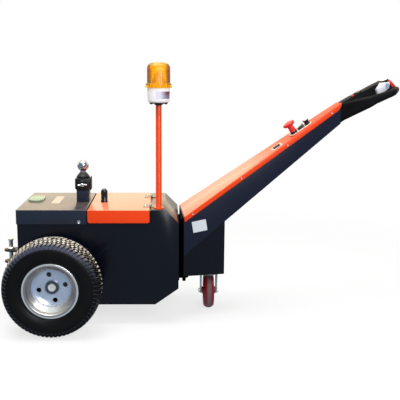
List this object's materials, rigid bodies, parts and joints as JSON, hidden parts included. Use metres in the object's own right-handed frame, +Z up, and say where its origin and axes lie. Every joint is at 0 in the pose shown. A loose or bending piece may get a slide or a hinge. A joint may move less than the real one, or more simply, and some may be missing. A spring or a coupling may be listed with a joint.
{
  "type": "electric tow tractor",
  "caption": "Walk-behind electric tow tractor: sheet-steel body on pneumatic drive wheels with ball coupling, drawbar hitch, beacon and a castor-borne tiller on a vertical hinge.",
  "frame": {"origin": "on the floor, at the middle of the object's length and width", "axes": "+X towards the handle, +Y to the side away from the beacon, +Z up"},
  "size_m": [1.7392, 0.7904, 1.106],
  "materials": {
    "body_paint": "semi-gloss powder coat",
    "orange_paint": "gloss powder coat",
    "wheel_paint": "silver paint",
    "tyre": "dusty rubber",
    "steel": "zinc plated",
    "dark_steel": "satin black",
    "chrome": "polished",
    "cast": "rough cast",
    "black_plastic": "moulded",
    "battery_case": "moulded",
    "grey_plastic": "moulded",
    "gauge_plastic": "moulded",
    "red_plastic": "moulded",
    "white_plastic": "moulded",
    "amber_lens": "clear amber",
    "castor_rubber": "elastic tread"
  },
  "bodies": {
    "chassis": {"body_shell": "body_paint", "bulkhead": "body_paint", "deck_cover": "body_paint", "batteries": "battery_case", "transaxle": "cast", "axle_bearings": "steel", "hitch_bracket": "dark_steel", "hitch_pin": "steel", "tow_post": "body_paint", "coupling_housing": "dark_steel", "coupling_collar": "dark_steel", "tow_ball": "chrome", "coupling_latch": "dark_steel", "gauge_cover": "gauge_plastic", "lid_hinge_leaves": "steel", "beacon_pole": "orange_paint", "beacon_bracket": "dark_steel", "beacon_base": "white_plastic", "beacon_lens": "amber_lens", "beacon_reflector": "chrome", "steer_bracket": "dark_steel", "steer_pin": "steel"},
    "wheel_right": {"rim_right": "wheel_paint", "hub_right": "dark_steel", "tyre_right": "tyre"},
    "wheel_left": {"rim_left": "wheel_paint", "hub_left": "dark_steel", "tyre_left": "tyre"},
    "lid": {"battery_lid": "orange_paint", "lid_knob": "black_plastic", "lid_hinge_straps": "steel"},
    "tiller": {"tiller_column": "body_paint", "tiller_arm": "body_paint", "tiller_cover": "orange_paint", "steer_barrel": "dark_steel", "switch_panel": "steel", "estop_base": "black_plastic", "estop_button": "red_plastic", "key_switch": "black_plastic", "control_head": "black_plastic", "throttle_wings": "grey_plastic", "belly_button": "red_plastic", "castor_plate": "steel"},
    "castor": {"castor_fork": "steel", "castor_axle": "steel"},
    "castor_wheel": {"castor_hub": "castor_rubber", "castor_tyre": "castor_rubber"}
  },
  "joints": [
    {"name": "wheel_right_spin", "type": "hinge", "parent": "chassis", "child": "wheel_right", "pos_m": [-0.60664, -0.3125, 0.203], "axis": [0, 1, 0], "continuous": true},
    {"name": "wheel_left_spin", "type": "hinge", "parent": "chassis", "child": "wheel_left", "pos_m": [-0.60664, 0.3125, 0.203], "axis": [0, 1, 0], "continuous": true},
    {"name": "lid_open", "type": "hinge", "parent": "chassis", "child": "lid", "pos_m": [-0.20914, 0, 0.5058], "axis": [0, 1, 0], "range_deg": [0, 90]},
    {"name": "tiller_steer", "type": "hinge", "parent": "chassis", "child": "tiller", "pos_m": [-0.06164, 0, 0.3], "axis": [0, 0, 1], "range_deg": [-7, 1]},
    {"name": "castor_swivel", "type": "hinge", "parent": "tiller", "child": "castor", "pos_m": [0.0512, 0.00591, 0.17], "axis": [0, 0, 1], "continuous": true},
    {"name": "castor_roll", "type": "hinge", "parent": "castor", "child": "castor_wheel", "pos_m": [0.0512, 0.02591, 0.08], "axis": [1, 0, 0], "continuous": true}
  ]
}
